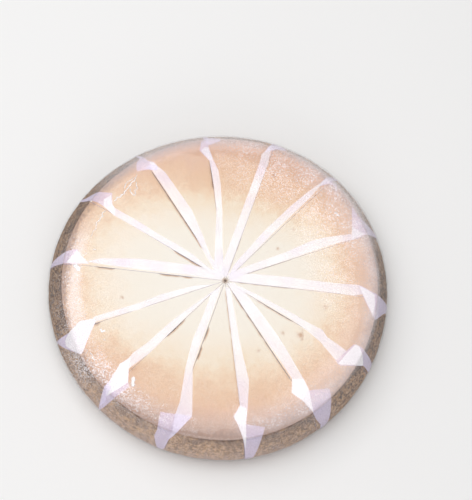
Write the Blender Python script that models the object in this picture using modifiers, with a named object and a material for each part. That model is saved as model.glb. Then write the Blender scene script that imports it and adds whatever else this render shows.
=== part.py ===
"""A whole baked New York cheesecake, cut in fourteen slices, wrapped for sale.

Each slice is a filling wedge on a crumb crust wedge. A sheet of glassine paper stands in every cut,
folded over on the top and at the rim. A tight clear film covers it all, open underneath.
Metres, +Z up. The origin is on the cake's axis, at the surface it stands on.
"""

import math

import bmesh
import bpy
from mathutils import Vector

# Driving dimensions of the cake
SLICES = 14
HEIGHT = 0.0420  # base to the middle of the top
WIDEST_RADIUS = 0.1270
WIDEST_HEIGHT = 0.0135
BASE_RADIUS = 0.1245
LIP_RADIUS = 0.1155  # where the baked top ends, in a thin lip over the crumbed side
LIP_EDGE = 0.0012
SHOULDER_RADIUS = 0.0900  # the top bends down outside this
DOME = 0.0008
SHOULDER_DROP = 0.0035
SHOULDER_POWER = 2.2
SIDE_POWER = 1.6
LIP_HEIGHT = HEIGHT - DOME - SHOULDER_DROP

# The cake is a little lopsided: its top sits off its base, and its rim bulges in three places
CUT_CENTRE = Vector((0.0027, 0.0016, 0.0))
TOP_SHIFT = Vector((0.0007, -0.0018, 0.0))
BULGE = 0.0011
BULGES = 3
BULGE_ANGLE = math.radians(50)

# Crumb crust
CRUST_BASE = 0.0050
CRUST_WALL = 0.0035

# Cuts, papers and film
CUT_WIDTH = 0.0010
GAP = 0.0003
PAPER = 0.0003
FILM = 0.0003
PAPER_LIFT = GAP + PAPER / 2
FILM_LIFT = GAP + PAPER + 2 * GAP + FILM / 2
FOOT = 0.0006  # the papers and the film end this far above the surface below
PAPER_START = 0.0040  # from the cut centre, where the fold on the top begins
PAPER_CORE = 0.0021  # from the cut centre, the inner edge of each sheet
CROWDING = 0.20  # near the centre a fold is at most this share of its distance out

STEPS_PER_SLICE = 5
FILM_STEPS_PER_SLICE = 3
TOP_STOPS = (0.055, 0.090, 0.100, 0.104, 0.110)  # radii where the top's outline bends
TURN_START, TURN_END = TOP_STOPS[2:4]  # where a paper's fold changes sides
FILM_STOPS = (0.090, TURN_END)
SIDE_STOPS = (0.031, 0.023)  # heights where the side's outline bends
TUCK = 0.0050  # height where the side turns in to the base, and the folded corners run out
MERGE = 0.000001
PLANE_TOLERANCE = 0.0000001
FLAT = math.radians(0.02)
SHARP = math.radians(35)

# One row for each paper, counter-clockwise from +X. A side is 1 for counter-clockwise or -1:
# side and width of the fold on the top, then side and width of the folded corner at the rim
PAPERS = (
    (1, 0.0050, -1, 0.0145),
    (1, 0.0045, 1, 0.0200),
    (1, 0.0045, 1, 0.0075),
    (1, 0.0045, -1, 0.0110),
    (-1, 0.0050, 1, 0.0070),
    (-1, 0.0065, 1, 0.0095),
    (-1, 0.0052, -1, 0.0120),
    (-1, 0.0065, -1, 0.0090),
    (-1, 0.0040, 1, 0.0135),
    (-1, 0.0045, -1, 0.0095),
    (-1, 0.0060, 1, 0.0125),
    (1, 0.0070, 1, 0.0160),
    (1, 0.0070, 1, 0.0180),
    (-1, 0.0060, -1, 0.0080),
)
CUT_STEP = 2 * math.pi / SLICES


def clear_scene():
    for item in list(bpy.data.objects):
        bpy.data.objects.remove(item)


def named_collection(name):
    collection = bpy.data.collections.new(name)
    bpy.context.scene.collection.children.link(collection)
    return collection


def finish(name, colour, roughness, alpha=1.0):
    """A plain Principled material."""
    material = bpy.data.materials.new(name)
    material.use_nodes = True
    shader = material.node_tree.nodes["Principled BSDF"]
    shader.inputs["Base Color"].default_value = (*colour, 1.0)
    shader.inputs["Roughness"].default_value = roughness
    shader.inputs["Metallic"].default_value = 0.0
    shader.inputs["Alpha"].default_value = alpha
    return material


# Outline of the cake, as radius and height


def top_height(radius):
    """Height of the baked top, slightly domed, then bending down to the lip."""
    bend = max(0.0, (radius - SHOULDER_RADIUS) / (LIP_RADIUS - SHOULDER_RADIUS))
    return HEIGHT - DOME * (radius / LIP_RADIUS) ** 2 - SHOULDER_DROP * bend**SHOULDER_POWER


def side_radius(height):
    """Radius of the crumbed side, widest low down, tucked in a little at the base."""
    if height < WIDEST_HEIGHT:
        tuck = (WIDEST_HEIGHT - height) / WIDEST_HEIGHT
        return WIDEST_RADIUS - (WIDEST_RADIUS - BASE_RADIUS) * tuck**2
    rise = (height - WIDEST_HEIGHT) / (LIP_HEIGHT - WIDEST_HEIGHT)
    return WIDEST_RADIUS - (WIDEST_RADIUS - LIP_RADIUS) * rise**SIDE_POWER


def top_outline(first, stops=TOP_STOPS):
    """Points along the top, from the radius first out to the lip."""
    radii = [first, *stops, LIP_RADIUS]
    return [Vector((radius, top_height(radius))) for radius in radii]


def side_outline(last, stops=(*SIDE_STOPS, WIDEST_HEIGHT, TUCK)):
    """Points down the side, from just under the lip to the height last."""
    heights = [*stops, last]
    return [Vector((side_radius(height), height)) for height in heights]


def offset(outline, distance):
    """The outline moved outwards, square to itself."""
    moved = []
    for i, point in enumerate(outline):
        before = (point - outline[max(i - 1, 0)]).normalized()
        after = (outline[min(i + 1, len(outline) - 1)] - point).normalized()
        along = (before + after).normalized()
        outwards = Vector((-along.y, along.x))
        corner = max(along.dot(before), along.dot(after))
        moved.append(point + outwards * distance / corner)
    return moved


# Meshes


def settle(point):
    """Where a point of the regular cake lies in the lopsided one."""
    radius = math.hypot(point.x, point.y)
    bulge = BULGE * math.cos(BULGES * (math.atan2(point.y, point.x) - BULGE_ANGLE))
    share = (radius / WIDEST_RADIUS) ** 3
    stretch = 1 + bulge * share / max(radius, GAP)
    lean = (point.z - WIDEST_HEIGHT) / (LIP_HEIGHT - WIDEST_HEIGHT)
    moved = Vector((point.x * stretch, point.y * stretch, point.z))
    return moved + TOP_SHIFT * lean


def turned(name, outline, steps):
    """A profile with a Screw modifier, as an object."""
    mesh = bpy.data.meshes.new(name)
    edges = [(i, i + 1) for i in range(len(outline) - 1)]
    mesh.from_pydata([(p.x, 0.0, p.y) for p in outline], edges, [])
    item = bpy.data.objects.new(name, mesh)
    screw = item.modifiers.new("Turn", "SCREW")
    screw.steps = screw.render_steps = steps
    screw.use_merge_vertices = True
    screw.merge_threshold = MERGE
    bpy.context.scene.collection.objects.link(item)
    return item


def turned_mesh(name, outline, steps):
    """The mesh that the Screw modifier makes, without its object."""
    item = turned(name, outline, steps)
    graph = bpy.context.evaluated_depsgraph_get()
    mesh = bpy.data.meshes.new_from_object(item.evaluated_get(graph))
    bpy.data.objects.remove(item)
    return mesh


def direction(angle):
    return Vector((math.cos(angle), math.sin(angle), 0.0))


def cut_and_cap(body, point, inwards):
    """Removes what lies behind a plane and closes the cut."""
    everything = [*body.verts, *body.edges, *body.faces]
    bmesh.ops.bisect_plane(
        body,
        geom=everything,
        dist=PLANE_TOLERANCE,
        plane_co=point,
        plane_no=inwards,
        clear_inner=True,
    )
    rim = [edge for edge in body.edges if edge.is_boundary]
    bmesh.ops.holes_fill(body, edges=rim, sides=0)


def wedge(name, whole, index, collection, material):
    """The slice between cut index and the next one, with half a cut's width off each side."""
    body = bmesh.new()
    body.from_mesh(whole)
    bmesh.ops.remove_doubles(body, verts=body.verts, dist=MERGE)
    for cut, turn in ((index, math.pi / 2), (index + 1, -math.pi / 2)):
        inwards = direction(cut * CUT_STEP + turn)
        cut_and_cap(body, CUT_CENTRE + inwards * CUT_WIDTH / 2, inwards)
    bmesh.ops.dissolve_limit(body, angle_limit=FLAT, verts=body.verts, edges=body.edges)
    bmesh.ops.recalc_face_normals(body, faces=body.faces)
    return place(name, body, collection, material)


def place(name, body, collection, material):
    """An object from the bmesh, settled into the lopsided cake."""
    for vert in body.verts:
        vert.co = settle(vert.co)
    mesh = bpy.data.meshes.new(name)
    body.to_mesh(mesh)
    body.free()
    mesh.shade_smooth()
    mesh.set_sharp_from_angle(angle=SHARP)
    mesh.materials.clear()
    mesh.materials.append(material)
    item = bpy.data.objects.new(name, mesh)
    collection.objects.link(item)
    return item


# Sub-parts


def crust_outline():
    """Section of the whole crumb crust: base top, wall inside, wall top, side, base bottom."""
    wall_top = LIP_HEIGHT - LIP_EDGE - GAP
    outside = [Vector((side_radius(wall_top), wall_top)), *side_outline(0.0)]
    wall = [p - Vector((CRUST_WALL, 0.0)) for p in outside if p.y > CRUST_BASE + GAP]
    corner = Vector((side_radius(CRUST_BASE) - CRUST_WALL, CRUST_BASE))
    return [Vector((0.0, CRUST_BASE)), corner, *reversed(wall), *outside, Vector((0.0, 0.0))]


def filling_outline():
    """Section of the whole filling: top, lip over the crust, side, bottom."""
    lip_under = LIP_HEIGHT - LIP_EDGE
    bottom = CRUST_BASE + GAP
    stops = (lip_under, *SIDE_STOPS, WIDEST_HEIGHT)
    outside = side_outline(bottom, stops)
    inside = [p - Vector((CRUST_WALL + GAP, 0.0)) for p in outside]
    return [*top_outline(0.0), outside[0], *inside, Vector((0.0, bottom))]


def paper_path(angle):
    """Outline that a paper's fold follows, from the centre out, over the lip and down the side."""
    start = CUT_CENTRE + direction(angle) * PAPER_START
    outer_stops = TOP_STOPS[1:]
    return offset([*top_outline(start.length, outer_stops), *side_outline(FOOT)], PAPER_LIFT)


def fold_width(row, point, distance):
    """Side and width of the fold at a point of the path. Side 0 is where the sheet isn't folded."""
    top_side, top_width, rim_side, rim_width = row
    crossing = top_side != rim_side
    if point.y < TUCK / 2:
        return 0, 0.0
    if point.y <= LIP_HEIGHT + PAPER_LIFT:
        fall = (point.y - TUCK) / (LIP_HEIGHT - TUCK)
        return rim_side, rim_width * max(0.0, fall)
    if point.x < TURN_START - PAPER_LIFT:
        return top_side, min(top_width, CROWDING * (distance - PAPER_START))
    if crossing and point.x < TURN_END - PAPER_LIFT:
        return top_side, 0.0
    start, inside = (0.0, TURN_END) if crossing else (top_width, TURN_START)
    spread = (point.x - inside) / (LIP_RADIUS - inside)
    return rim_side, start + (rim_width - start) * spread


def reach(angle, point):
    """The spot on the turned surface through an outline's point, seen from the cut centre."""
    along = direction(angle)
    half = CUT_CENTRE.dot(along)
    distance = -half + math.sqrt(half**2 - CUT_CENTRE.length_squared + point.x**2)
    spot = CUT_CENTRE + along * distance
    return Vector((spot.x, spot.y, point.y)), distance


def standing_sheet(angle, path):
    """The part of a paper that stands in the cut, as a thin plate."""
    body = bmesh.new()
    inner = CUT_CENTRE + direction(angle) * PAPER_CORE
    inner_edge = [Vector((inner.x, inner.y, height)) for height in (FOOT, path[0].y)]
    outline = [*(reach(angle, point)[0] for point in path), *inner_edge]
    across = direction(angle + math.pi / 2)
    face = body.faces.new([body.verts.new(spot - across * PAPER / 2) for spot in outline])
    plate = bmesh.ops.extrude_face_region(body, geom=[face])["geom"]
    far = [item for item in plate if isinstance(item, bmesh.types.BMVert)]
    bmesh.ops.translate(body, verts=far, vec=across * PAPER)
    bmesh.ops.recalc_face_normals(body, faces=body.faces)
    return body


def folded_edges(angle, path, row):
    """The strips of a paper that lie on the cake, as surfaces without thickness."""
    body = bmesh.new()
    last, last_side = None, 0
    for point in path:
        distance = reach(angle, point)[1]
        side, width = fold_width(row, point, distance)
        offsets = [-PAPER / 4, max(width / 2, PAPER / 4), max(width, PAPER / 2)]
        spots = [reach(angle + side * across / distance, point)[0] for across in offsets]
        verts = [body.verts.new(spot) for spot in spots]
        if side == last_side:
            for i in range(len(verts) - 1):
                body.faces.new([last[i], verts[i], verts[i + 1], last[i + 1]])
        last, last_side = verts, side
    bmesh.ops.delete(body, geom=[v for v in body.verts if not v.link_faces], context="VERTS")
    bmesh.ops.recalc_face_normals(body, faces=body.faces)
    return body


def thicken(item, thickness):
    skin = item.modifiers.new("Thickness", "SOLIDIFY")
    skin.thickness = thickness
    skin.offset = 0.0
    skin.use_even_offset = True


def paper(name, index, collection, helpers, material):
    """A sheet standing in its cut, its upper and outer edges folded flat against the cake."""
    angle = index * CUT_STEP
    path = paper_path(angle)
    sheet = place(name, standing_sheet(angle, path), collection, material)
    folds = place(f"{name}_folds", folded_edges(angle, path, PAPERS[index]), helpers, material)
    thicken(folds, PAPER)
    folds.hide_render = True
    folds.display_type = "WIRE"
    join = sheet.modifiers.new("Folds", "BOOLEAN")
    join.operation = "UNION"
    join.object = folds
    return sheet


def film(name, collection, material):
    """The film over the whole cake, open underneath."""
    outline = offset([*top_outline(0.0, FILM_STOPS), *side_outline(FOOT)], FILM_LIFT)
    whole = turned_mesh(name, outline, SLICES * FILM_STEPS_PER_SLICE)
    body = bmesh.new()
    body.from_mesh(whole)
    bmesh.ops.remove_doubles(body, verts=body.verts, dist=MERGE)
    bmesh.ops.recalc_face_normals(body, faces=body.faces)
    thicken(place(name, body, collection, material), FILM)


def build():
    clear_scene()
    cake = named_collection("cheesecake")
    helpers = named_collection("paper folds")
    baked = finish("baked filling", (0.86, 0.72, 0.48), 0.55)
    crumbs = finish("crumb crust", (0.42, 0.26, 0.14), 0.85)
    glassine = finish("glassine paper", (0.86, 0.84, 0.90), 0.5)
    clear = finish("clear film", (1.0, 1.0, 1.0), 0.08, alpha=0.15)
    steps = SLICES * STEPS_PER_SLICE
    whole_filling = turned_mesh("whole filling", filling_outline(), steps)
    whole_crust = turned_mesh("whole crust", crust_outline(), steps)
    for index in range(SLICES):
        number = f"{index + 1:02d}"
        wedge(f"filling_{number}", whole_filling, index, cake, baked)
        wedge(f"crust_{number}", whole_crust, index, cake, crumbs)
        paper(f"paper_{number}", index, cake, helpers, glassine)
    film("film", cake, clear)


build()
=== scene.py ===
"""Looks of a whole baked cheesecake, cut in fourteen slices and wrapped in clear film.

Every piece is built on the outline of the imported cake. The folds of the paper sheets are drawn
flat, as a maker would cut them out, and then laid over the top and down the side.
Metres, +Z up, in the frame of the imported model.
"""

import math

import bmesh
import bpy
from mathutils import Matrix, Vector, noise


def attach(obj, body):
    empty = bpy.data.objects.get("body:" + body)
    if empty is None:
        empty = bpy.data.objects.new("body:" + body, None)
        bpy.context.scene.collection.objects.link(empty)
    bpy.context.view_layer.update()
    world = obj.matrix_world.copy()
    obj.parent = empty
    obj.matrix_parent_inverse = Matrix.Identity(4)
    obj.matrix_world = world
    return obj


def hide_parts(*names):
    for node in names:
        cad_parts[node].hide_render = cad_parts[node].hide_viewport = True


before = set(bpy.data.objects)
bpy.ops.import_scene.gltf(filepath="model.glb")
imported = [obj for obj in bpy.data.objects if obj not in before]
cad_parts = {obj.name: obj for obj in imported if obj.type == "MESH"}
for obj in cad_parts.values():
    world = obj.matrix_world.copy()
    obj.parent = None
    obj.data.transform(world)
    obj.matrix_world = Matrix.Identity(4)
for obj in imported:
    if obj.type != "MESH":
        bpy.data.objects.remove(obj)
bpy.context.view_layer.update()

MM = 0.001

# The cake's outline, as it was packed
SLICES = 14
CUT_STEP = 2 * math.pi / SLICES
HEIGHT = 42.0 * MM
WIDEST_RADIUS = 127.0 * MM
WIDEST_HEIGHT = 13.5 * MM
BASE_RADIUS = 124.5 * MM
LIP_RADIUS = 115.5 * MM
LIP_EDGE = 1.2 * MM
SHOULDER_RADIUS = 90.0 * MM
DOME = 0.8 * MM
SHOULDER_DROP = 3.5 * MM
SHOULDER_POWER = 2.2
SIDE_POWER = 1.6
LIP_HEIGHT = HEIGHT - DOME - SHOULDER_DROP
CUT_CENTRE = Vector((2.7 * MM, 1.6 * MM, 0.0))
TOP_SHIFT = Vector((0.7 * MM, -1.8 * MM, 0.0))
BULGE = 1.1 * MM
BULGES = 3
BULGE_ANGLE = math.radians(50)
CRUST_BASE = 5.0 * MM
CRUST_WALL = 3.5 * MM
GAP = 0.3 * MM
FOOT = 0.6 * MM
TINY = 0.01 * MM

# How far the layers lie off the cake
STANDING_LIFT = 0.15 * MM
RIM_LIFT = 0.30 * MM
FLAP_LIFT = 0.62 * MM
LEAST_LIFT = 0.1 * MM
SHEET = 0.10 * MM  # thickness of the glassine
FILM_LIFT = 1.15 * MM
FILM_LOWEST = 0.75 * MM
FILM_SHEET = 0.08 * MM
CLOSED_CUT = 0.26 * MM  # how far the soft slices stay apart

# The folds of each sheet, in millimetres out along its cut and across it, counter-clockwise
# positive. band lies on the top, rim goes over the shoulder and down the side, corner is where
# the sheet is doubled over between the two, and extra is a flap that lies over them.
FOLDS = (
    dict(
        band=[(3.2, 0.4), (4.5, 5.4), (18, 7.6), (47, 8.3), (62, 7.8), (84, 7.8), (98.5, 8.6),
              (105, 6.4), (102, 1.8), (95, -0.3), (82, 0), (62, 0.5), (19, -0.2)],
        rim=[(98.5, 8.6), (105, 6.4), (112, 4), (122, 2.4), (132, 1), (147, 0), (125, -8),
             (115, -15), (113, -16), (109.5, -11), (106, -5.5), (102, 1.5)],
        corner=[(99, 7.5), (105, 6), (111, 3), (112, -5), (111.5, -13.5), (109.5, -10.5),
                (106, -5), (102, 1.8)],
    ),
    dict(
        band=[(3, 0), (3.5, 4.2), (20, 5.5), (50, 6.4), (70, 8.6), (80, 8.2), (101, 4.5),
              (101, 0), (82, 1), (60, 0.6)],
        rim=[(99.8, -0.4), (105, 13), (109.8, 25.5), (112.2, 17), (115.8, 12.6), (119.5, 9.5),
             (124.5, 5.5), (132, 2.5), (146, 0.5), (128, -0.5), (119, 0.5), (111, 0.9),
             (104.7, -0.1)],
        corner=[(100, 0), (101.5, 5), (104, 10), (107.5, 5), (111, 1.5), (107, 1)],
    ),
    dict(
        band=[(5, 0), (8, 2.2), (14, 4.2), (50, 7.2), (78, 7), (96, 5.8), (107, 4.4),
              (105, 3), (92, 1.5), (50, 1.3), (20, 0)],
        rim=[(103, 3), (107, 4.6), (115, 4.6), (123, 3), (127, 1), (146, 0.5), (126, -1),
             (113.5, 0.2)],
        corner=[(103, 3), (108, 4.6), (114, 4), (112, 1.5)],
        extra=[(105, 2.6), (113, 0.6), (115, -4), (109, -9.5), (112, -4), (110, 0)],
    ),
    dict(
        band=[(2.5, 0), (3, 4.8), (15, 6.2), (57, 6.2), (98, 6.2), (105.5, 7), (111, 4.5),
              (118, 2.5), (112, 1.5), (98, 0), (30, 0)],
        rim=[(110, 4.8), (119, 3.5), (128, 2.5), (147, 1), (128, -5), (118, -10.5),
             (115.5, -5), (111, 1.5)],
        corner=[(108, 5.5), (111, 4.5), (118, 3), (122, -4), (116, -5), (111, 1.5)],
    ),
    dict(
        band=[(2.4, 0.6), (2.2, 6.4), (9, 7.4), (20, 5.6), (30, 4), (56, 0), (76, -0.4),
              (97.5, 0.6), (97.5, -2.3), (88, -5.3), (76, -5.6), (55, -4.4), (29, -1.4)],
        rim=[(97, 0.6), (106.5, 7), (113.5, 5), (118, 2.5), (146, 1), (125, -1.5),
             (114.5, -1), (108.5, 0), (98, -2.4)],
        corner=[(97, 0.2), (106, 6), (109, 3), (108.5, 0), (98, -2.2)],
        extra=[(110.5, -1), (113, -9.5), (115.5, -10.5), (120, -4), (119, 0), (113, 1.5)],
    ),
    dict(
        band=[(4, 0.2), (5, 2.8), (23, 1.8), (40, 0.2), (65, -0.5), (100.5, -0.4), (105, -0.8),
              (111, -2.8), (109.4, -5.3), (103.6, -6.2), (97.5, -8), (60, -8.8), (40, -5.2),
              (22, -1.3)],
        rim=[(103.5, -0.9), (104.9, -0.7), (107, 4.2), (109.1, 9.2), (111.5, 8.6), (114.9, 6.3),
             (119.4, 1.2), (146, 0.5), (125, -1), (113.2, -2), (109.4, -5), (104, -5)],
        corner=[(103.4, -0.8), (105.6, 1.5), (108, 3), (109, -2.5), (104, -5.5), (101.5, -4)],
    ),
    dict(
        band=[(9, 0), (12, -1.4), (30, -4.4), (45, -5), (60, -4.5), (84, -5), (99, -4.5),
              (102.5, -6), (106, -1.5), (96.5, 0.8), (84, 0.4), (60, 0), (30, 0)],
        rim=[(97, 0.6), (102.5, -6), (108, -14), (118.5, -9.2), (127, -3), (147, -0.5),
             (128, 0.5), (112.5, -2), (106, -1.3)],
        corner=[(96, 0.6), (99, -4.4), (102.5, -6), (107.5, -12), (110, -6), (107, -1.4)],
    ),
    dict(
        band=[(2.2, -0.5), (3.4, -6.4), (14, -8), (26, -9.2), (64, -9.6), (92, -6.7), (102, -3),
              (94, -2.2), (63, -1.4), (25, -1.4), (8, 0)],
        rim=[(100, -1.6), (107.5, -7.5), (110, -12), (113, -11.8), (121.5, -9), (136, -5),
             (147, -1), (132, -0.8), (113.5, -0.5)],
        corner=[(100, -1.6), (107.5, -7.5), (110, -11), (114, -6), (117, -1), (110, -0.8)],
    ),
    dict(
        band=[(9, 0), (23, -3.6), (48, -5.3), (65, -4.2), (82, -4.6), (100, -5), (100, -1),
              (83, -0.4), (66, 0.4), (50, -0.4), (24, -0.6)],
        rim=[(99.5, -0.8), (107, 7), (113.8, 15.4), (116.7, 18.4), (124, 12.7), (133, 5.7),
             (142, -1.8), (131.5, -1.2), (120.2, -0.5), (109.8, -5.4), (99.7, -3.8)],
        corner=[(99.5, -0.8), (107, 7), (113.8, 15.4), (116.7, 18.4), (122.4, 13),
                (127.6, 6.8), (126.6, 3.1), (120.2, -0.5), (109.8, -5.4), (99.7, -3.8)],
    ),
    dict(
        band=[(9, 0), (25, -2.4), (44, -5), (57, -6), (73, -6.2), (86, -8.2), (92, -7.6),
              (97, -7.8), (97.5, -1.8), (90.5, -1), (78, 0.4), (60, 0), (43, -0.6)],
        rim=[(97, -1.8), (104.5, 5.5), (106, 8), (118, 6.2), (133, 3.8), (147, 0.5),
             (127, -1.2), (118, -5.3), (112, -5.2), (104.5, -7.3), (99, -9), (92, -7.5)],
        corner=[(91, -7), (99, -9), (104.5, -7.3), (117, -4.5), (123, 0.5), (112, 3.6),
                (104.5, 5), (97, -1.8)],
        extra=[(106, -7), (112, -5), (118, -5), (136, 0), (128, 2.5), (116, -1)],
    ),
    dict(
        band=[(6, -2), (12, -6.2), (33, -6.6), (51, -7.6), (71.5, -5.5), (97, -0.8),
              (107, -0.9), (104, 11), (85, 4.6), (70, -0.6), (50, -1.2), (30, -1), (9, -1.2)],
        rim=[(106.5, -1), (104, 11), (115, 6), (126.5, 0.5), (138, -0.6), (147, -3),
             (146, -5), (142, -6.5), (127.5, -10.5), (121, -9.5), (108.5, -11.5)],
        corner=[(106, -1), (104, 11), (115, 6), (126.5, 0.3), (137, -1.3), (118, 1.2)],
    ),
    dict(
        band=[(5, -0.5), (6.5, 2.7), (26, 4.1), (46, 5), (60, 6.3), (76, 8.2), (81, 7.5),
              (97, 4.6), (108, 2.2), (107.5, -3.5), (101.5, -6), (94, -0.5), (45, -0.5)],
        rim=[(94, -0.5), (101.5, -6), (107.5, -3.5), (116, -1), (126, 0.2), (140, 0.7),
             (147, 1.5), (139, 7.5), (129.5, 9.6), (117.5, 12.8), (111, 15.4), (107.5, 2)],
        corner=[(94, -0.5), (101.5, -6), (107.5, -3.5), (118, -0.6), (126, 0.8), (107.5, 2.2),
                (97, 4.6)],
    ),
    dict(
        band=[(3, 0.2), (4.6, 4.6), (12, 7), (36, 9.2), (57, 10), (70, 9.5), (93, 8), (101.5, 6.6),
              (106, -1), (96.5, -5), (88, 1), (72, 1), (30, 0.3)],
        rim=[(101.5, 6.6), (104.7, 13.3), (108.2, 20.4), (120.6, 16), (132.4, 12.5),
             (147, 5), (147, 3), (132, 4), (122, 1.3), (113.5, 0.7), (106, -1)],
        corner=[(88, 1), (96.5, -5), (106, -1), (116, 1), (101.5, 6.8), (93, 8)],
    ),
    dict(
        band=[(8, 0), (12, 2), (29, 3.6), (52, 5), (68, 5.2), (80, 6), (86, 3), (103, 2),
              (100, -8.5), (83, -2.8), (70, -0.5), (55, 0.8), (35, 0.8), (12, 0)],
        rim=[(100, -8.5), (102.5, -10), (105, -9.8), (121.8, 1.7), (132, 2.5), (140, 4),
             (134, 10), (116.2, 10.2), (109.5, 10.8), (105, 9.2), (103, 2)],
        corner=[(102.5, -9.6), (104.5, -9.2), (120.8, 1.4), (109.4, 10.2), (106.1, 10),
                (104, 0)],
    ),
)
FOLD_GRID = 2.5 * MM  # a fold's mesh
LIP_BENDS = [(112.0 + 0.7 * step) * MM for step in range(10)]  # closer lines, round the lip
SHEET_START = 2.3 * MM
SHEET_END = 147.0 * MM
SHEET_STEPS = 60
# How white each sheet's doubled corner is, from 0 for a single layer
CORNERS = (0.85, 0.6, 0.45, 0.35, 0.55, 0.15, 0.75, 0.75, 0.8, 0.9, 0.25, 0.8, 0.9, 0.95)
EXTRA_WHITE = 0.1
BAND_WHITE = 0.6

# Where a cut gapes beside its sheet: the cut, its side (1 counter-clockwise), from and to along
# it, and how much, in millimetres
GAPES = (
    (0, -1, 8, 50, 0.18), (1, -1, 15, 54, 0.15), (3, -1, 6, 40, 0.15), (4, 1, 72, 100, 0.5),
    (5, 1, 28, 104, 0.45), (6, 1, 14, 46, 0.5), (7, 1, 22, 50, 0.4), (7, 1, 80, 96, 0.5),
    (8, 1, 95, 103, 1.0), (9, 1, 40, 62, 0.5), (10, 1, 36, 51, 0.5), (10, 1, 52, 65, 0.7),
    (11, -1, 6, 96, 0.32), (12, -1, 9, 90, 0.30), (13, -1, 26, 60, 0.3),
)
GAPE_REACH = 2.2 * MM
# Browned spots on the top: x, y, radius in millimetres, and depth of colour
SPOTS = (
    (39.6, 29.2, 1.3, 0.55), (49.9, 45.4, 1.0, 0.4), (-69.6, -22.0, 1.3, 0.5),
    (33.2, -51.0, 1.1, 0.45), (-86.9, -40.8, 1.4, 0.5), (31.3, 87.5, 1.7, 0.9),
    (62.4, -35.4, 2.3, 0.75), (78.5, -11.8, 1.6, 0.5), (49.5, -35.5, 1.4, 0.45),
    (-55.2, -74.7, 1.8, 0.5), (30.0, 78.0, 0.9, 0.4), (64.0, -38.6, 1.2, 0.4),
)
# Creases in the film: their width, then the places along them, in millimetres
CREASES = (
    (1.5, (-71.9, 77.9), (-73.1, 73.0), (-76.5, 67.3), (-78.8, 62.9), (-80.9, 58.5),
     (-83.9, 56.7), (-86.8, 53.8)),
    (1.1, (-72.1, 72.0), (-70.8, 65.9), (-71.5, 60.7), (-74.6, 62.0), (-76.2, 65.9)),
    (0.9, (-74.0, 75.5), (-78.5, 70.0), (-81.0, 64.0)),
    (1.1, (-91.2, 46.2), (-93.4, 41.9), (-92.6, 40.2), (-93.9, 38.8), (-96.6, 35.0),
     (-96.0, 32.4), (-97.2, 29.4), (-100.0, 23.7)),
    (1.0, (-96.2, 13.6), (-94.7, 14.6), (-93.4, 13.8)),
    (4.6, (-108.5, 1.3), (-105.5, -0.6), (-103.0, -3.2)),
    (2.6, (-83.8, -46.0), (-81.5, -47.4), (-79.4, -47.2)),
    (1.2, (-79.5, -52.8), (-78.2, -54.0)),
    (3.4, (-55.2, -78.6), (-54.9, -82.0), (-54.5, -86.6)),
    (1.2, (-103.0, 51.8), (-101.6, 52.6)),
    (1.3, (93.2, 43.4), (93.6, 41.2)),
    (1.0, (113.6, 52.0), (114.4, 50.0)),
    (1.4, (-88.4, -63.6), (-87.0, -66.4), (-84.7, -70.0)),
    (1.1, (-91.5, -61.5), (-90.0, -65.0)),
    (1.0, (-76.8, -75.2), (-77.1, -78.9)),
    (1.6, (78.0, 65.0), (79.6, 63.2), (82.5, 62.6)),
)


# Outline of the cake


def top_height(radius):
    """Height of the baked top, slightly domed, then bending down to the lip."""
    bend = max(0.0, (radius - SHOULDER_RADIUS) / (LIP_RADIUS - SHOULDER_RADIUS))
    return HEIGHT - DOME * (radius / LIP_RADIUS) ** 2 - SHOULDER_DROP * bend**SHOULDER_POWER


def side_radius(height):
    """Radius of the crumbed side, widest low down, tucked in a little at the base."""
    if height < WIDEST_HEIGHT:
        tuck = (WIDEST_HEIGHT - height) / WIDEST_HEIGHT
        return WIDEST_RADIUS - (WIDEST_RADIUS - BASE_RADIUS) * tuck**2
    rise = (height - WIDEST_HEIGHT) / (LIP_HEIGHT - WIDEST_HEIGHT)
    return WIDEST_RADIUS - (WIDEST_RADIUS - LIP_RADIUS) * rise**SIDE_POWER


def settle(point):
    """Where a point of the regular cake lies in the lopsided one."""
    radius = math.hypot(point.x, point.y)
    bulge = BULGE * math.cos(BULGES * (math.atan2(point.y, point.x) - BULGE_ANGLE))
    share = (radius / WIDEST_RADIUS) ** 3
    stretch = 1 + bulge * share / max(radius, GAP)
    lean = (point.z - WIDEST_HEIGHT) / (LIP_HEIGHT - WIDEST_HEIGHT)
    return Vector((point.x * stretch, point.y * stretch, point.z)) + TOP_SHIFT * lean


def direction(angle):
    """The way out from the axis at that angle."""
    return Vector((math.cos(angle), math.sin(angle), 0.0))


def over(spread):
    """Radius and height of the cake's skin, out over the top and then down the side."""
    if spread <= LIP_RADIUS:
        return Vector((spread, top_height(spread)))
    height = max(LIP_HEIGHT - (spread - LIP_RADIUS), FOOT)
    return Vector((side_radius(height), height))


def skin(spread, lift):
    """The skin moved outwards, with the corner at the lip rounded."""
    here = over(spread)
    ahead, behind = over(spread + MM), over(max(spread - MM, 0.0))
    along = (ahead - behind).normalized()
    return here + Vector((-along.y, along.x)) * lift


def lay(flat, lift):
    """A place on the cake, from where it would be if the side were folded out level."""
    spread = max(math.hypot(flat.x, flat.y), TINY)
    point = skin(spread, lift)
    return settle(Vector((flat.x * point.x / spread, flat.y * point.x / spread, point.y)))


def unevenness(flat, size, seed):
    """Soft bumps of about that size, from -1 to 1."""
    return noise.noise(Vector((flat.x / size, flat.y / size, seed)))


def eased(share):
    """A share kept between 0 and 1, starting and ending softly."""
    share = min(max(share, 0.0), 1.0)
    return share * share * (3 - 2 * share)


# Pieces


def piece(name, body, material, sharp=35.0):
    """An object of that mesh, smooth but for the edges sharper than that many degrees."""
    mesh = bpy.data.meshes.new(name)
    body.to_mesh(mesh)
    body.free()
    mesh.shade_smooth()
    mesh.set_sharp_from_angle(angle=math.radians(sharp))
    mesh.materials.append(material)
    item = bpy.data.objects.new(name, mesh)
    bpy.context.scene.collection.objects.link(item)
    return item


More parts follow.
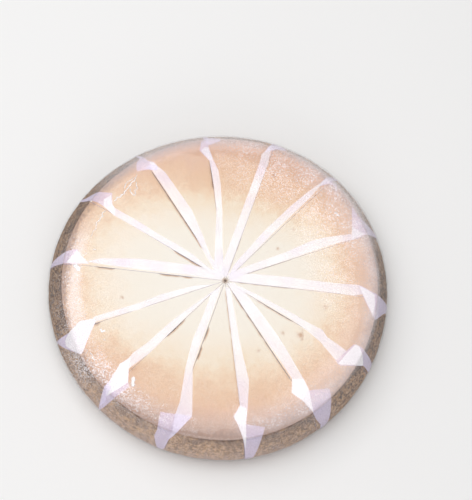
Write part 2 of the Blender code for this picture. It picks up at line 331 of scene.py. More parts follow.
def crisp_edges(item):
    """The free edges of a thin sheet stay sharp when it gets its thickness."""
    body = bmesh.new()
    body.from_mesh(item.data)
    for edge in body.edges:
        if edge.is_boundary:
            edge.smooth = False
    body.to_mesh(item.data)
    body.free()


def stands_for(item, node):
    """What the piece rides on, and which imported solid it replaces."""
    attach(item, "root")
    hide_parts(node)


def thicken(item, thickness):
    """Gives a thin sheet its thickness, half to each side."""
    wall = item.modifiers.new("Thickness", "SOLIDIFY")
    wall.thickness = thickness
    wall.offset = 0.0


def gape(cut, side, along, from_cut):
    """How far the filling stands back from its cut at that place."""
    opening = 0.0
    for where, which, start, end, width in GAPES:
        if (where, which) == (cut, side) and start < along / MM < end:
            ends = eased((along / MM - start) / 4) * eased((end - along / MM) / 4)
            ragged = 0.75 + 0.5 * noise.noise(Vector((along / (5 * MM), cut, side)))
            opening = max(opening, width * MM * ends * ragged)
    return opening * (1 - eased(from_cut / GAPE_REACH))


def wedge(index, rows, columns, shape):
    """A slice: a grid wrapped round it from the top of its point to the bottom of its point,
    and its two cut sides. A row is (share, radius, height): that share of the way from the
    point to the radius. shape gives a vertex's last place."""
    body = bmesh.new()
    bmesh.ops.create_grid(body, x_segments=columns, y_segments=len(rows) - 1, size=1.0)
    left = index * CUT_STEP
    middle = direction(left + CUT_STEP / 2)
    point = CUT_CENTRE + middle * (CLOSED_CUT / 2 / math.sin(CUT_STEP / 2))
    sides = {0: [], columns: []}
    # How much painted shade each vertex gets, standing in for the shade in the slits between
    # slices
    cut_shade = body.verts.layers.float.new("cut_shade")
    for vert in body.verts:
        column = round((vert.co.x + 1) / 2 * columns)
        row = round((vert.co.y + 1) / 2 * (len(rows) - 1))
        share, radius, height = rows[row]
        across = column / columns
        along = direction(left + across * CUT_STEP)
        half = point.dot(along)
        far = -half + math.sqrt(half**2 - point.length_squared + radius**2)
        spot = point + along * far * share
        if column in sides:
            sides[column].append((row, vert))
        spot.z = top_height(spot.length) if height is None else height
        from_cut = min(across, 1 - across) * CUT_STEP * far * share
        vert.co, vert[cut_shade] = shape(spot, row, across, from_cut)
    for edge in sides.values():
        edge.sort(key=lambda pair: pair[0])
        body.faces.new([vert for _, vert in edge])
    bmesh.ops.remove_doubles(body, verts=body.verts, dist=TINY)
    bmesh.ops.recalc_face_normals(body, faces=body.faces)
    return body


TOP_ROWS = 78
SLICE_COLUMNS = 34
WALL_STEPS = (31.0 * MM, 23.0 * MM, WIDEST_HEIGHT)  # heights down the inside of the crust
# Unevenness of the top: height and breadth of its bumps, and where each pattern starts
TOP_BUMPS = ((0.22 * MM, 26 * MM, 3.1), (0.10 * MM, 7 * MM, 5.2), (0.05 * MM, 2.4 * MM, 8.3))
LIP_ROUNDING = 2.6 * MM
LIP_DROP = 0.55 * MM
CUT_ROUNDING = 0.6 * MM
CUT_DROP = 0.15 * MM
FULL_CUT_SHADE_AT = 0.3 * MM  # a cut that gapes this far gets its painted shade in full


def filling(index, material):
    """The baked filling of one slice, its top a little uneven and its cut edges soft."""
    lip_under = LIP_HEIGHT - LIP_EDGE
    inner = (lip_under, *WALL_STEPS, CRUST_BASE + GAP)
    rows = [(i / TOP_ROWS, LIP_RADIUS, None) for i in range(TOP_ROWS + 1)]
    rows.append((1, side_radius(lip_under) + 0.1 * MM, (LIP_HEIGHT + lip_under) / 2))
    rows.append((1, side_radius(lip_under), lip_under))
    rows += [(1, side_radius(h) - CRUST_WALL - GAP, h) for h in inner]
    rows.append((0, side_radius(inner[-1]) - CRUST_WALL - GAP, inner[-1]))

    def shape(spot, row, across, from_cut):
        depth = 0.0
        cut_shade_amount = 0.0
        if row <= TOP_ROWS:
            depth -= LIP_DROP * eased((spot.length - LIP_RADIUS + LIP_ROUNDING) / LIP_ROUNDING)
            for height, breadth, start in TOP_BUMPS:
                depth += height * unevenness(spot, breadth, start)
            depth -= CUT_DROP * (1 - eased(from_cut / CUT_ROUNDING)) * eased(row / 4)
            cut, side = (index, 1) if across < 0.5 else ((index + 1) % SLICES, -1)
            along = direction(cut * CUT_STEP)
            opening = gape(cut, side, (spot - CUT_CENTRE).dot(along), from_cut)
            spot += Vector((-along.y, along.x, 0.0)) * side * opening
            depth -= 0.6 * opening
            # Painted shade: darker where the cut gapes and at the slice's point in the middle
            cut_shade_amount = max(min(1.0, opening / FULL_CUT_SHADE_AT), 1 - row / 2)
        spot.z += depth
        return settle(spot), cut_shade_amount

    body = wedge(index, rows, SLICE_COLUMNS, shape)
    item = piece(f"slice_filling_{index + 1:02d}", body, material)
    stands_for(item, f"filling_{index + 1:02d}")


CRUST_ROWS = 62
CRUST_COLUMNS = 84
COARSE_CRUMB = 2.1 * MM
FINE_CRUMB = 1.0 * MM
LUMP = 9 * MM


def crumbs(spot):
    """Height of the crumb coat: rounded grains of two sizes, pressed together."""
    coarse = noise.voronoi(spot / COARSE_CRUMB)[0]
    fine = noise.voronoi((spot + Vector((0.4, 0.2, 0.1))) / FINE_CRUMB)[0]
    lumps = noise.noise(spot / LUMP)
    return 0.36 * MM * (0.55 - coarse[0]) + 0.16 * MM * (0.5 - fine[0]) + 0.25 * MM * lumps


def crust(index, material):
    """The crumb crust of one slice: its base and the wall round the filling."""
    wall_top = LIP_HEIGHT - LIP_EDGE - GAP
    rows = [(i / 3, side_radius(CRUST_BASE) - CRUST_WALL, CRUST_BASE) for i in range(4)]
    rows += [(1, side_radius(h) - CRUST_WALL, h) for h in reversed(WALL_STEPS)]
    rows.append((1, side_radius(wall_top) - CRUST_WALL, wall_top))
    outside = len(rows)
    for i in range(CRUST_ROWS + 1):
        height = wall_top * (1 - i / CRUST_ROWS)
        rows.append((1, side_radius(height), height))
    rows += [(1 - i / 3, BASE_RADIUS, 0.0) for i in range(1, 4)]

    def shape(spot, row, across, from_cut):
        if outside <= row < outside + CRUST_ROWS:
            low = min(1.0, (row - outside) / 2, (outside + CRUST_ROWS - row) / 4)
            spot += Vector((spot.x, spot.y, 0)).normalized() * crumbs(spot) * low
        return settle(spot), 0.0

    body = wedge(index, rows, CRUST_COLUMNS, shape)
    item = piece(f"slice_crust_{index + 1:02d}", body, material, 60.0)
    stands_for(item, f"crust_{index + 1:02d}")


# Paper


def cut_out(outline, along, across):
    """A flat piece of paper with that outline, with a grid of folds across it."""
    body = bmesh.new()
    corners = [CUT_CENTRE + (along * x + across * y) * MM for x, y in outline]
    body.faces.new([body.verts.new(corner) for corner in corners])
    for axis in (along, across):
        reaches = [(corner - CUT_CENTRE).dot(axis) for corner in corners]
        first, last = (round(reach / FOLD_GRID) for reach in (min(reaches), max(reaches)))
        steps = [step * FOLD_GRID for step in range(first, last + 1)]
        if axis is along:
            steps += LIP_BENDS
        for step in steps:
            bmesh.ops.bisect_plane(
                body,
                geom=[*body.verts, *body.edges, *body.faces],
                dist=0.02 * MM,
                plane_co=CUT_CENTRE + axis * step,
                plane_no=axis,
            )
    bmesh.ops.triangulate(body, faces=[face for face in body.faces if len(face.verts) > 4])
    return body


def standing_sheet(angle):
    """The part of a sheet that stands in its cut."""
    body = bmesh.new()
    along = direction(angle)
    outline = []
    for step in range(SHEET_STEPS + 1):
        out = SHEET_START + (SHEET_END - SHEET_START) * step / SHEET_STEPS
        outline.append(lay(CUT_CENTRE + along * out, STANDING_LIFT))
    start = lay(CUT_CENTRE + along * SHEET_START, 0.0)
    outline.append(Vector((start.x, start.y, FOOT)))
    body.faces.new([body.verts.new(spot) for spot in outline])
    return body


def band_lift(out, aside, index):
    """A band is crowned along its middle, and the bands lie over each other where they meet."""
    crown = 0.35 * MM * eased(1 - abs(abs(aside) - 3 * MM) / (3 * MM))
    heap = 0.18 * MM * eased((20 * MM - out) / (14 * MM)) * (index % 4)
    return 0.22 * MM + crown + heap


def band_white(out, place, index):
    """How white a band is: cloudy, and a little clearer near the rim."""
    clearer = BAND_WHITE * (0.8 + 0.2 * eased((110 * MM - out) / (45 * MM)))
    return clearer + 0.35 * unevenness(place, 14 * MM, 7.0 + index)


def paper(index, material):
    """One sheet of paper: the part that stands in its cut, and its folds on the cake."""
    angle = index * CUT_STEP
    along, across = direction(angle), direction(angle + math.pi / 2)
    whole = bpy.data.meshes.new(f"sheet_{index}")
    body = standing_sheet(angle)
    body.verts.layers.float.new("doubled")
    lifts = dict(rim=RIM_LIFT, corner=FLAP_LIFT, extra=FLAP_LIFT + SHEET)
    whites = dict(rim=0.0, corner=CORNERS[index], extra=EXTRA_WHITE)
    for part, outline in FOLDS[index].items():
        fold = cut_out(outline, along, across)
        doubled = fold.verts.layers.float.new("doubled")
        for vert in fold.verts:
            place = vert.co - CUT_CENTRE
            if part == "band":
                out, aside = place.dot(along), place.dot(across)
                vert[doubled] = band_white(out, place, index)
                lift = band_lift(out, aside, index)
            else:
                vert[doubled] = whites[part]
                lift = lifts[part] + 0.12 * MM * unevenness(place, 9 * MM, index + len(part))
            vert.co = lay(vert.co, max(lift, LEAST_LIFT))
        fold.to_mesh(whole)
        fold.free()
        body.from_mesh(whole)
    bmesh.ops.recalc_face_normals(body, faces=body.faces)
    item = piece(f"sheet_{index + 1:02d}", body, material, 50.0)
    crisp_edges(item)
    item.visible_shadow = False
    thicken(item, SHEET)
    stands_for(item, f"paper_{index + 1:02d}")


# Film

FILM_TURNS = 300
FILM_ROWS = 88
CREASE_LIFT = 0.30 * MM
CREASE_HEIGHT = 0.35 * MM


def gathers(flat):
    """Fine creases that run outwards, where the film is gathered in round the side."""
    angle = math.atan2(flat.y, flat.x)
    round_about = Vector((math.cos(angle), math.sin(angle), 0.0)) * 22
    return noise.noise(round_about + Vector((0.0, 0.0, flat.length * 12)))


def film(material):
    """The clear film, drawn tight over everything, with fine creases near the rim."""
    body = bmesh.new()
    reach = LIP_RADIUS + LIP_HEIGHT - FOOT
    verts = [
        body.verts.new((reach * i / FILM_ROWS, 0.0, 0.0)) for i in range(FILM_ROWS + 1)
    ]
    edges = [body.edges.new(pair) for pair in zip(verts, verts[1:])]
    bmesh.ops.spin(
        body,
        geom=[*verts, *edges],
        cent=(0, 0, 0),
        axis=(0, 0, 1),
        angle=2 * math.pi,
        steps=FILM_TURNS,
        use_merge=True,
    )
    bmesh.ops.remove_doubles(body, verts=body.verts, dist=TINY)
    bmesh.ops.recalc_face_normals(body, faces=body.faces)
    for vert in body.verts:
        flat = vert.co.copy()
        spread = flat.length
        rim = eased((spread - 70 * MM) / (40 * MM))
        low = eased((reach - spread) / (8 * MM))
        lift = FILM_LIFT
        lift += 0.16 * MM * unevenness(flat, 8 * MM, 1.7) * (0.3 + rim)
        lift += 0.10 * MM * unevenness(flat, 3 * MM, 4.4) * rim
        lift += 0.35 * MM * gathers(flat) * eased((spread - 108 * MM) / (12 * MM))
        vert.co = lay(flat, max(lift * low, FILM_LOWEST))
    item = piece("wrap_film", body, material, 80.0)
    item.visible_shadow = False
    thicken(item, FILM_SHEET)
    stands_for(item, "film")


def creases(material):
    """Small folds and welts in the film, where it is drawn together near the rim."""
    body = bmesh.new()
    part = bpy.data.meshes.new("crease")
    for number, (width, *places) in enumerate(CREASES):
        places = [Vector((x, y, 0.0)) * MM for x, y in places]
        steps = 6 * (len(places) - 1)
        strip = bmesh.new()
        bmesh.ops.create_grid(strip, x_segments=6, y_segments=steps, size=1.0)
        for vert in strip.verts:
            aside, share = vert.co.x, (vert.co.y + 1) / 2
            stretch = min(share * (len(places) - 1), len(places) - 1.001)
            first, part_way = places[int(stretch)], stretch - int(stretch)
            heading = places[int(stretch) + 1] - first
            flat = first + heading * part_way
            heading.normalize()
            ragged = 0.75 + 0.5 * noise.noise(Vector((share * steps / 2, number, 0.5)))
            taper = math.sqrt(max(0.0, 1 - (2 * share - 1) ** 4)) * ragged
            wander = 1.4 * unevenness(flat, 2 * MM, number)
            sideways = Vector((-heading.y, heading.x, 0.0))
            flat += sideways * (aside * width / 2 * taper + wander) * MM
            welt = CREASE_HEIGHT * (1 - aside**2) * taper
            vert.co = lay(flat, FILM_LIFT + CREASE_LIFT + welt)
        bmesh.ops.recalc_face_normals(strip, faces=strip.faces)
        strip.to_mesh(part)
        strip.free()
        body.from_mesh(part)
    item = piece("wrap_creases", body, material, 80.0)
    item.visible_shadow = False
    thicken(item, FILM_SHEET)
    stands_for(item, "film")


# Finishes, with their colours in linear light

# The baked top, out from its middle: share of the way to BAKED_REACH, and colour
BAKED_REACH = 118 * MM
BAKED_COLOURS = (
    (0.0, (0.915, 0.87, 0.80)),
    (0.42, (0.91, 0.84, 0.735)),
    (0.56, (0.905, 0.80, 0.67)),
    (0.66, (0.88, 0.74, 0.575)),
    (0.73, (0.85, 0.65, 0.465)),
    (0.79, (0.80, 0.555, 0.37)),
    (0.86, (0.77, 0.505, 0.32)),
    (0.93, (0.75, 0.48, 0.31)),
    (1.0, (0.73, 0.46, 0.32)),
)
TOASTED_OVAL = 11 * MM  # how far the toasted ring is from round
# Where the ring is wider: its direction and reach in degrees, and how much in millimetres
TOASTED_SIDES = ((97, 52, 5.0), (20, 60, 6.0), (275, 50, 2.0), (187, 50, -6.0))
# Its unevenness: scale, detail, and depth in millimetres
TOASTED_RIPPLES = ((22.0, 2.0, 30.0), (120.0, 3.0, 22.0), (420.0, 2.0, 16.0))
# Shade on the shoulder: direction and reach in degrees, start in millimetres out, and depth
SHOULDER_SHADES = ((119, 42, 106.5, 0.60), (270, 58, 98.0, 0.50), (0, 38, 107.0, 0.26))
SHADED_SHOULDER = (0.36, 0.25, 0.225)
CRUMBED_LIP = (0.40, 0.265, 0.215)
PALE_STRIP = (0.96, 0.84, 0.78)
# Painted shade in the slit of a gaping cut and at the slices' points
CUT_SHADE_COLOUR = (0.58, 0.35, 0.20)
BROWNED_SPOT = (0.50, 0.25, 0.12)

CRUMB_COLOURS = (
    (0.34, (0.120, 0.045, 0.010)),
    (0.50, (0.290, 0.132, 0.040)),
    (0.66, (0.45, 0.230, 0.085)),
)
# Painted light: the crust is lighter on the front, where the light falls
LIT_FRONT_CRUMBS = (0.50, 0.32, 0.19)
PALE_CRUMBS = (0.66, 0.42, 0.24)
DARK_CRUMBS = (0.045, 0.018, 0.007)
CRUMB_DUST = (0.80, 0.58, 0.42)
# Painted shade on the crust under the overhanging lip
LIP_SHADOW = (0.10, 0.042, 0.016)
# Painted reflection: the top of the crust on the far side made pinker, standing in for the film's
# reflection there
FAR_RIM_REFLECTION = (0.76, 0.53, 0.44)
# Painted shade, darker towards the base of the crust
FOOT_SHADE = (0.12, 0.07, 0.055)
# Painted reflection: the film's pale sheen in streaks low on the front of the crust
FRONT_FILM_SHEEN = (0.60, 0.46, 0.43)
# Painted shade on the flanks of the crust
FLANK_SHADE = (0.08, 0.035, 0.015)
# The crust's flanks darkened as painted shade: direction and reach in degrees, and depth
SHADED_CRUST_FLANKS = ((165, 62, 0.42), (335, 62, 0.25), (12, 34, 0.35))

PAPER_COLOURS = (
    (0.0, (0.86, 0.775, 1.0)),
    (BAND_WHITE, (0.92, 0.895, 0.92)),
    (1.0, (1.0, 0.985, 1.0)),
)
CLOUDED_PAPER = (0.45, 0.40, 0.55)

# White specks on the film, partly frost and partly painted sparkle, from where they start out to
# where they end: share of the way, and how much
FROST_AND_SPARKLE_START = 60 * MM
FROST_AND_SPARKLE_END = 130 * MM
FROST_AND_SPARKLE_RING = (
    (0.0, 0.0), (0.22, 0.45), (0.50, 1.0), (0.73, 1.0), (0.80, 0.55), (0.86, 0.25), (1.0, 0.06),
)
THIN_FROST_AND_SPARKLE = 0.10
# Where it is thicker: direction and reach in degrees, start in millimetres out, and how much
FROST_AND_SPARKLE_SIDES = (
    (42, 58, 0.0, 0.55), (188, 24, 102.0, 0.60), (220, 22, 102.0, 0.60),
    (246, 24, 103.0, 0.42), (298, 22, 105.0, 0.25), (217, 9, 117.0, 2.5),
)
# One white for the frost, the haze, the painted sparkle and the painted sheen
FROST_HAZE_AND_SHEEN_WHITE = (1.0, 0.95, 0.975, 1.0)
FOLD_AND_GLINT_WHITES = ((0.3, (0.93, 0.92, 0.97)), (0.7, (1.0, 1.0, 1.0)))


def connect(tree, node, values):
    """Sets a node's values, or links what feeds them."""
    for key, value in dict(values).items():
        if isinstance(value, bpy.types.NodeSocket):
            tree.links.new(value, node.inputs[key])
        else:
            node.inputs[key].default_value = value


def add(tree, kind, values=(), **settings):
    """A node with its settings, its values and what feeds it."""
    node = tree.nodes.new(kind)
    for key, value in settings.items():
        setattr(node, key, value)
    connect(tree, node, values)
    return node


def ramp(tree, factor, stops):
    """The colour for a value, between the stops' positions and colours."""
    node = add(tree, "ShaderNodeValToRGB", {"Fac": factor})
    elements = node.color_ramp.elements
    while len(elements) > 1:
        elements.remove(elements[-1])
    elements[0].position, elements[0].color = stops[0][0], (*stops[0][1], 1.0)
    for position, colour in stops[1:]:
        elements.new(position).color = (*colour, 1.0)
    return node.outputs["Color"]


def level(tree, factor, low, high, to_low=0.0, to_high=1.0):
    """A value taken from one range to another, and kept in it."""
    values = {
        "Value": factor, "From Min": low, "From Max": high, "To Min": to_low, "To Max": to_high,
    }
    return add(tree, "ShaderNodeMapRange", values, clamp=True).outputs["Result"]


def mixed(tree, factor, first, second):
    """The first colour, with that share of the second, which is the same all over."""
    values = {0: factor, 6: first, 7: (*second, 1.0)}
    return add(tree, "ShaderNodeMix", data_type="RGBA", values=values).outputs[2]


def math_node(tree, operation, first, second=0.5):
    return add(tree, "ShaderNodeMath", {0: first, 1: second}, operation=operation).outputs[0]


def product(tree, first, second):
    return math_node(tree, "MULTIPLY", first, second)


def total(tree, first, second):
    return math_node(tree, "ADD", first, second)


def vector_node(tree, operation, first, second=(0.0, 0.0, 0.0)):
    values = {0: first, 1: second}
    return add(tree, "ShaderNodeVectorMath", values, operation=operation).outputs


def axes_of(tree, place):
    return add(tree, "ShaderNodeSeparateXYZ", {"Vector": place}).outputs


def noise_node(tree, place, scale, detail=2.0, roughness=0.5):
    values = {"Vector": place, "Scale": scale, "Detail": detail, "Roughness": roughness}
    return add(tree, "ShaderNodeTexNoise", values).outputs["Fac"]


def grains_node(tree, place, scale):
    """Grains side by side: how far it is to the middle of each, and each one's own tones."""
    cells = add(tree, "ShaderNodeTexVoronoi", {"Vector": place, "Scale": scale}).outputs
    tones = add(tree, "ShaderNodeSeparateColor", {"Color": cells["Color"]}).outputs
    return cells["Distance"], tones


def bumped(tree, shader, height, strength, distance):
    """Fine relief on a finish."""
    values = {"Height": height, "Strength": strength, "Distance": distance}
    connect(tree, shader, {"Normal": add(tree, "ShaderNodeBump", values).outputs[0]})


def distance_out(tree, place):
    """The place seen from above, and how far that is from the axis."""
    flat = vector_node(tree, "MULTIPLY", place, (1, 1, 0))[0]
    return flat, vector_node(tree, "LENGTH", flat)["Value"]


def facing(tree, flat, degrees, reach):
    """1 in that direction from the axis, falling to 0 at reach degrees to either side."""
    unit = vector_node(tree, "NORMALIZE", flat)[0]
    aim = direction(math.radians(degrees))
    near, far = math.cos(math.radians(reach * 0.4)), math.cos(math.radians(reach))
    return level(tree, vector_node(tree, "DOT_PRODUCT", unit, aim)["Value"], far, near)


def new_finish(name):
    """A material, its nodes, its shader, and the place on the cake that its patterns follow."""
    material = bpy.data.materials.new(name)
    material.use_nodes = True
    tree = material.node_tree
    shader = tree.nodes["Principled BSDF"]
    place = add(tree, "ShaderNodeTexCoord").outputs["Object"]
    return material, tree, shader, place


def baked_filling():
    """Pale cream in the middle, toasted in a ring, with small spots baked darker, and painted
    shade on the shoulder and along the gaping cuts.
    """
    material, tree, shader, place = new_finish("baked filling")
    flat, spread = distance_out(tree, place)
    mirrored = vector_node(tree, "MULTIPLY", flat, (1, -1, 0))[0]
    long_way = vector_node(tree, "DOT_PRODUCT", flat, mirrored)["Value"]
    square = vector_node(tree, "DOT_PRODUCT", flat, flat)["Value"]
    oval = math_node(tree, "DIVIDE", long_way, square)
    toasted = total(tree, spread, product(tree, oval, -TOASTED_OVAL))
    for degrees, reach, deeper in TOASTED_SIDES:
        towards = product(tree, facing(tree, flat, degrees, reach), deeper * MM)
        toasted = total(tree, toasted, towards)
    for scale, detail, depth in TOASTED_RIPPLES:
        uneven = noise_node(tree, place, scale, detail, 0.55)
        ripple = level(tree, uneven, 0.0, 1.0, -depth / 2 * MM, depth / 2 * MM)
        toasted = total(tree, toasted, ripple)
    colour = ramp(tree, level(tree, toasted, 0.0, BAKED_REACH), BAKED_COLOURS)
    for degrees, reach, start, depth in SHOULDER_SHADES:
        shade = product(tree, facing(tree, flat, degrees, reach),
                        level(tree, spread, start * MM, 113 * MM, 0.0, depth))
        colour = mixed(tree, shade, colour, SHADED_SHOULDER)
    # At 180 degrees the crust reaches a little further in over the edge
    overlap = product(tree, facing(tree, flat, 180, 15), 2.6 * MM)
    outwards = total(tree, spread, overlap)
    lip = level(tree, total(tree, outwards, ripple), 110.5 * MM, 116.5 * MM, 0.0, 0.85)
    colour = mixed(tree, lip, colour, CRUMBED_LIP)
    strip = product(tree, level(tree, spread, 101 * MM, 105 * MM),
                    level(tree, outwards, 114.5 * MM, 111 * MM, 0.0, 0.65))
    pale = product(tree, facing(tree, flat, 187, 28), strip)
    colour = mixed(tree, pale, colour, PALE_STRIP)
    # Painted shade along the gaping cuts and at the slices' points
    cut_shade = add(tree, "ShaderNodeAttribute", attribute_name="cut_shade").outputs["Fac"]
    colour = mixed(tree, level(tree, cut_shade, 0.2, 1.0, 0.0, 0.85), colour, CUT_SHADE_COLOUR)
    wobble = level(tree, noise_node(tree, place, 900.0, 1.0), 0.3, 0.7, 0.6, 1.5)
    for x, y, radius, depth in SPOTS:
        centre = Vector((x, y, 0.0)) * MM
        away = vector_node(tree, "DISTANCE", flat, centre)["Value"]
        ragged = product(tree, away, wobble)
        spot = level(tree, ragged, 0.3 * radius * MM, 1.5 * radius * MM, depth, 0.0)
        colour = mixed(tree, spot, colour, BROWNED_SPOT)
    connect(tree, shader, {"Base Color": colour, "Roughness": 0.6, "Specular IOR Level": 0.2})
    bumped(tree, shader, noise_node(tree, place, 900.0, 2.0), 0.12, 0.4 * MM)
    return material


def crumb_crust():
    """Pressed biscuit crumbs, toasted golden with pale grains, greyer towards the base; painted
    lighter on the front, with painted shade on the flanks, under the lip and low down, and a
    painted sheen and reflection of the film.
    """
    material, tree, shader, place = new_finish("crumb crust")
    flat = distance_out(tree, place)[0]
    height = axes_of(tree, place)["Z"]
    patch = noise_node(tree, place, 75.0, 3.0, 0.55)
    front = facing(tree, flat, 262, 60)
    colour = ramp(tree, patch, CRUMB_COLOURS)
    # Painted light: lighter crumbs on the front
    colour = mixed(tree, product(tree, front, 0.58), colour, LIT_FRONT_CRUMBS)
    crumb, crumb_tones = grains_node(tree, place, 560.0)
    grit_tones = grains_node(tree, place, 1050.0)[1]
    grains = total(tree, product(tree, crumb_tones[0], 0.5), product(tree, grit_tones[0], 0.5))
    dust = noise_node(tree, place, 850.0, 1.0, 0.5)
    colour = mixed(tree, level(tree, grains, 0.50, 0.75, 0.0, 0.95), colour, PALE_CRUMBS)
    colour = mixed(tree, level(tree, dust, 0.60, 0.70, 0.0, 0.75), colour, CRUMB_DUST)
    # Dark gaps between the crumbs, fewer on the front as part of its painted light
    dark = product(tree, level(tree, grains, 0.50, 0.25, 0.0, 0.95),
                   level(tree, front, 0.0, 1.0, 1.0, 0.55))
    colour = mixed(tree, dark, colour, DARK_CRUMBS)
    # Painted shade on the crust under the overhanging lip
    lip_shadow = product(tree, level(tree, height, 27 * MM, 35 * MM),
                        level(tree, patch, 0.40, 0.60, 0.75, 0.15))
    colour = mixed(tree, lip_shadow, colour, LIP_SHADOW)
    # Painted reflection: the top of the crust on the far side made pinker, standing in for the
    # film's reflection there
    far_rim_reflection = product(tree, facing(tree, flat, 62, 72),
                         level(tree, height, 31 * MM, 34.5 * MM, 0.0, 0.85))
    colour = mixed(tree, far_rim_reflection, colour, FAR_RIM_REFLECTION)
    # Painted shade, darker towards the base of the crust
    foot_shade = level(tree, height, 16 * MM, 1 * MM, 0.0, 0.6)
    colour = mixed(tree, foot_shade, colour, FOOT_SHADE)
    # Painted shade: the flanks darker
    for degrees, reach, depth in SHADED_CRUST_FLANKS:
        flank_shade = product(tree, facing(tree, flat, degrees, reach), depth)
        colour = mixed(tree, flank_shade, colour, FLANK_SHADE)
    # Painted reflection: the film's pale sheen in streaks low on the front of the crust
    stretched = vector_node(tree, "MULTIPLY", place, (1, 1, 0.12))[0]
    sheen_streaks = level(tree, noise_node(tree, stretched, 320.0, 2.0), 0.35, 0.65, 0.4, 1.0)
    low = product(tree, level(tree, height, 30 * MM, 8 * MM, 0.22, 0.86), front)
    colour = mixed(tree, product(tree, low, sheen_streaks), colour, FRONT_FILM_SHEEN)
    connect(tree, shader, {"Base Color": colour, "Roughness": 0.85, "Specular IOR Level": 0.25})
    bumped(tree, shader, math_node(tree, "SUBTRACT", 1.0, crumb), 0.5, 0.6 * MM)
    return material


def glassine():
    """Thin translucent paper: cold and clear in one layer, white where it is folded double."""
    material, tree, shader, place = new_finish("glassine paper")
    fibres = noise_node(tree, place, 700.0, 3.0, 0.7)
    doubled = add(tree, "ShaderNodeAttribute", attribute_name="doubled").outputs["Fac"]
    cloud = level(tree, noise_node(tree, place, 60.0, 2.0), 0.3, 0.7, 0.06, 0.0)
    colour = mixed(tree, cloud, ramp(tree, doubled, PAPER_COLOURS), CLOUDED_PAPER)
    height = axes_of(tree, place)["Z"]
    dense = math_node(tree, "MAXIMUM", level(tree, doubled, 0.0, 1.0, 0.36, 0.72),
                      level(tree, height, 39 * MM, 35 * MM, 0.36, 0.48))
    uneven = level(tree, fibres, 0.3, 0.7, -0.07, 0.07)
    values = {"Base Color": colour, "Alpha": total(tree, dense, uneven), "Roughness": 0.42}
    connect(tree, shader, values)
    bumped(tree, shader, fibres, 0.08, 0.3 * MM)
    return material


def frost_and_sparkle_specks(tree, place):
    """Round specks, with a finer sugar between them: partly ice, partly painted sparkle."""
    away, tones = grains_node(tree, place, 950.0)
    dots = product(tree, level(tree, away, 0.55, 0.25), level(tree, tones[1], 0.40, 0.85))
    sugar = level(tree, noise_node(tree, place, 950.0, 2.0, 0.7), 0.50, 0.64, 0.0, 0.65)
    return math_node(tree, "MAXIMUM", dots, sugar)


def off_paper(tree, flat, spread):
    """1 on the bare slices, and low over the band that lies beside each cut."""
    axes = axes_of(tree, vector_node(tree, "SUBTRACT", flat, CUT_CENTRE)[0])
    angle = math_node(tree, "ARCTAN2", axes["Y"], axes["X"])
    past_cut = math_node(tree, "FLOORED_MODULO", angle, CUT_STEP)
    aside = product(tree, math_node(tree, "SINE", past_cut), spread)
    return level(tree, aside, 6.5 * MM, 8.5 * MM, 0.35, 1.0)


def rim_sheen(tree, flat, spread, patch):
    """A painted sheen of the film on the far part of the rim, and a thin painted veil of sheen
    over the shoulder.
    """
    right = product(tree, facing(tree, flat, 50, 36),
                    level(tree, spread, 108 * MM, 118 * MM, 0.0, 0.30))
    back = product(tree, facing(tree, flat, 108, 44),
                   level(tree, spread, 102 * MM, 114 * MM, 0.0, 0.24))
    far_rim = product(tree, math_node(tree, "MAXIMUM", right, back),
                      level(tree, spread, 127 * MM, 119 * MM, 0.05, 1.0))
    shoulder = product(tree, level(tree, spread, 94 * MM, 112 * MM),
                       level(tree, spread, 119.5 * MM, 116.5 * MM, 0.03, 0.25))
    veil = product(tree, facing(tree, flat, 354, 84), shoulder)
    veil = product(tree, veil, level(tree, patch, 0.3, 1.0, 0.6, 1.0))
    return math_node(tree, "MAXIMUM", veil, far_rim)


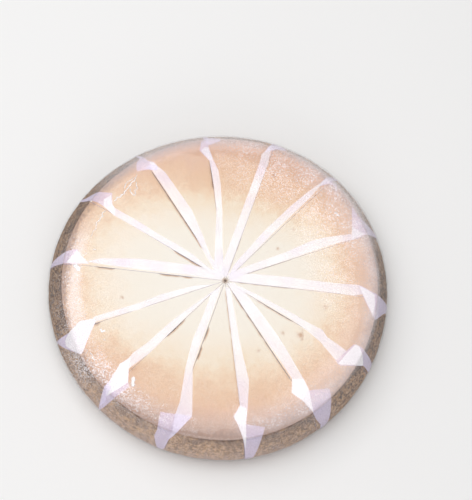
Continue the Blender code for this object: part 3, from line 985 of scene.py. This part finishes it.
def clear_film():
    """Clear shrink film, with a cold milky tinge, white specks where it leaves the top, partly ice
    and partly painted sparkle, and a painted sheen over the rim and shoulder.
    """
    material, tree, shader, place = new_finish("clear film")
    flat, spread = distance_out(tree, place)
    patch = level(tree, noise_node(tree, place, 55.0, 3.0, 0.6), 0.36, 0.60, 0.30, 1.0)
    stops = [(share, (much, much, much)) for share, much in FROST_AND_SPARKLE_RING]
    ring = ramp(tree, level(tree, spread, FROST_AND_SPARKLE_START, FROST_AND_SPARKLE_END), stops)
    frost_and_sparkle_share = THIN_FROST_AND_SPARKLE
    for degrees, reach, start, much in FROST_AND_SPARKLE_SIDES:
        begun = level(tree, spread, (start - 4) * MM, (start + 4) * MM, 0.0, much)
        frost_and_sparkle_share = total(tree, product(tree, facing(tree, flat, degrees, reach), begun), frost_and_sparkle_share)
    cover = product(tree, product(tree, frost_and_sparkle_share, patch), ring)
    cover = product(tree, cover, off_paper(tree, flat, spread))
    thawed = product(tree, facing(tree, flat, 6, 30),
                     level(tree, spread, 99 * MM, 105 * MM, 0.0, 0.75))
    cover = product(tree, cover, math_node(tree, "SUBTRACT", 1.0, thawed))
    # The specks are partly frost and partly painted sparkle
    frost_and_sparkle = product(tree, product(tree, frost_and_sparkle_specks(tree, place), cover), 1.3)
    # An even faint haze, and the painted sheen at the rim
    haze_and_sheen = total(tree, product(tree, ring, 0.03), rim_sheen(tree, flat, spread, patch))
    amount = math_node(tree, "MINIMUM", total(tree, frost_and_sparkle, haze_and_sheen), 0.85)
    clear = add(tree, "ShaderNodeBsdfTransparent").outputs[0]
    gloss = add(tree, "ShaderNodeBsdfGlossy", {"Roughness": 0.09}).outputs[0]
    fresnel = add(tree, "ShaderNodeFresnel", {"IOR": 1.45}).outputs[0]
    mirror = level(tree, fresnel, 0.03, 0.45, 0.025, 0.075)
    wet = add(tree, "ShaderNodeMixShader", {0: mirror, 1: clear, 2: gloss}).outputs[0]
    connect(tree, shader, {
        "Base Color": FROST_HAZE_AND_SHEEN_WHITE, "Roughness": 0.38, "Coat Weight": 1.0, "Coat Roughness": 0.25,
    })
    both = add(tree, "ShaderNodeMixShader", {0: amount, 1: wet, 2: shader.outputs[0]})
    connect(tree, tree.nodes["Material Output"], {"Surface": both.outputs[0]})
    return material


def fold_and_glint_finish():
    """The film where it is doubled over: whiter, partly as a real fold and partly as a painted
    glint, and catching the light.
    """
    material, tree, shader, place = new_finish("film folds and glints")
    cloud = noise_node(tree, place, 650.0, 2.0, 0.6)
    alpha = level(tree, cloud, 0.35, 0.6, 0.30, 0.75)
    # Painted glints: the creases are whitened where the film shows glints
    connect(tree, shader, {"Base Color": ramp(tree, cloud, FOLD_AND_GLINT_WHITES), "Alpha": alpha})
    connect(tree, shader, {"Metallic": 0.3, "Roughness": 0.25})
    return material


# Floor, light and camera

FLOOR_SIZE = 6.0
FLOOR_WHITE = (0.93, 0.93, 0.93, 1.0)
STUDIO_LIGHT = {"Color": (1.0, 0.985, 0.975, 1.0), "Strength": 0.42}
# Each lamp's name, place, size and power
LAMPS = (("overhead", (-0.28, 0.22, 1.3), 1.5, 12.6), ("front", (0.1, -1.1, 0.55), 0.7, 2.2))
CAMERA_TARGET = Vector((8.9, 23.55, 44.0)) * MM
CAMERA_DISTANCE = 1.150
CAMERA_ELEVATION = math.radians(69.9)
CAMERA_ROLL = math.radians(6.4)
IMAGE_HEIGHT = 500
SENSOR = 36
CAMERA_LENS = 1558 * SENSOR / IMAGE_HEIGHT


def stage():
    bpy.ops.mesh.primitive_plane_add(size=FLOOR_SIZE, location=(0, 0, 0))
    floor = bpy.context.object
    floor.name = "floor"
    material, tree, shader, _ = new_finish("floor")
    connect(tree, shader, {"Base Color": FLOOR_WHITE, "Roughness": 0.8})
    floor.data.materials.append(material)
    world = bpy.data.worlds.new("studio")
    bpy.context.scene.world = world
    world.use_nodes = True
    connect(world.node_tree, world.node_tree.nodes["Background"], STUDIO_LIGHT)
    for name, place, size, power in LAMPS:
        lamp(name, place, size, power)


def lamp(name, place, size, power):
    """A soft square lamp, aimed at the middle of the floor."""
    data = bpy.data.lights.new(name, "AREA")
    data.size = size
    data.energy = power
    item = bpy.data.objects.new(name, data)
    item.location = place
    item.rotation_euler = (-Vector(place)).to_track_quat("-Z", "Y").to_euler()
    bpy.context.scene.collection.objects.link(item)


def camera():
    """Looks steeply down at the cake, a little turned about its own axis."""
    data = bpy.data.cameras.new("camera")
    data.lens = CAMERA_LENS
    data.clip_start = 0.05
    item = bpy.data.objects.new("camera", data)
    back = Vector((0, -math.cos(CAMERA_ELEVATION), math.sin(CAMERA_ELEVATION)))
    item.location = CAMERA_TARGET + back * CAMERA_DISTANCE
    right = Vector((0, 0, 1)).cross(back).normalized()
    up = back.cross(right)
    turned_right = math.cos(CAMERA_ROLL) * right + math.sin(CAMERA_ROLL) * up
    turned_up = back.cross(turned_right)
    item.matrix_world = Matrix.Translation(item.location) @ Matrix(
        (turned_right, turned_up, back)
    ).transposed().to_4x4()
    bpy.context.scene.collection.objects.link(item)
    bpy.context.scene.camera = item


def build():
    bpy.context.scene.view_settings.view_transform = "Standard"
    fill, shell, sheet, wrap = baked_filling(), crumb_crust(), glassine(), clear_film()
    for index in range(SLICES):
        filling(index, fill)
        crust(index, shell)
        paper(index, sheet)
    film(wrap)
    creases(fold_and_glint_finish())
    stage()
    camera()


build()
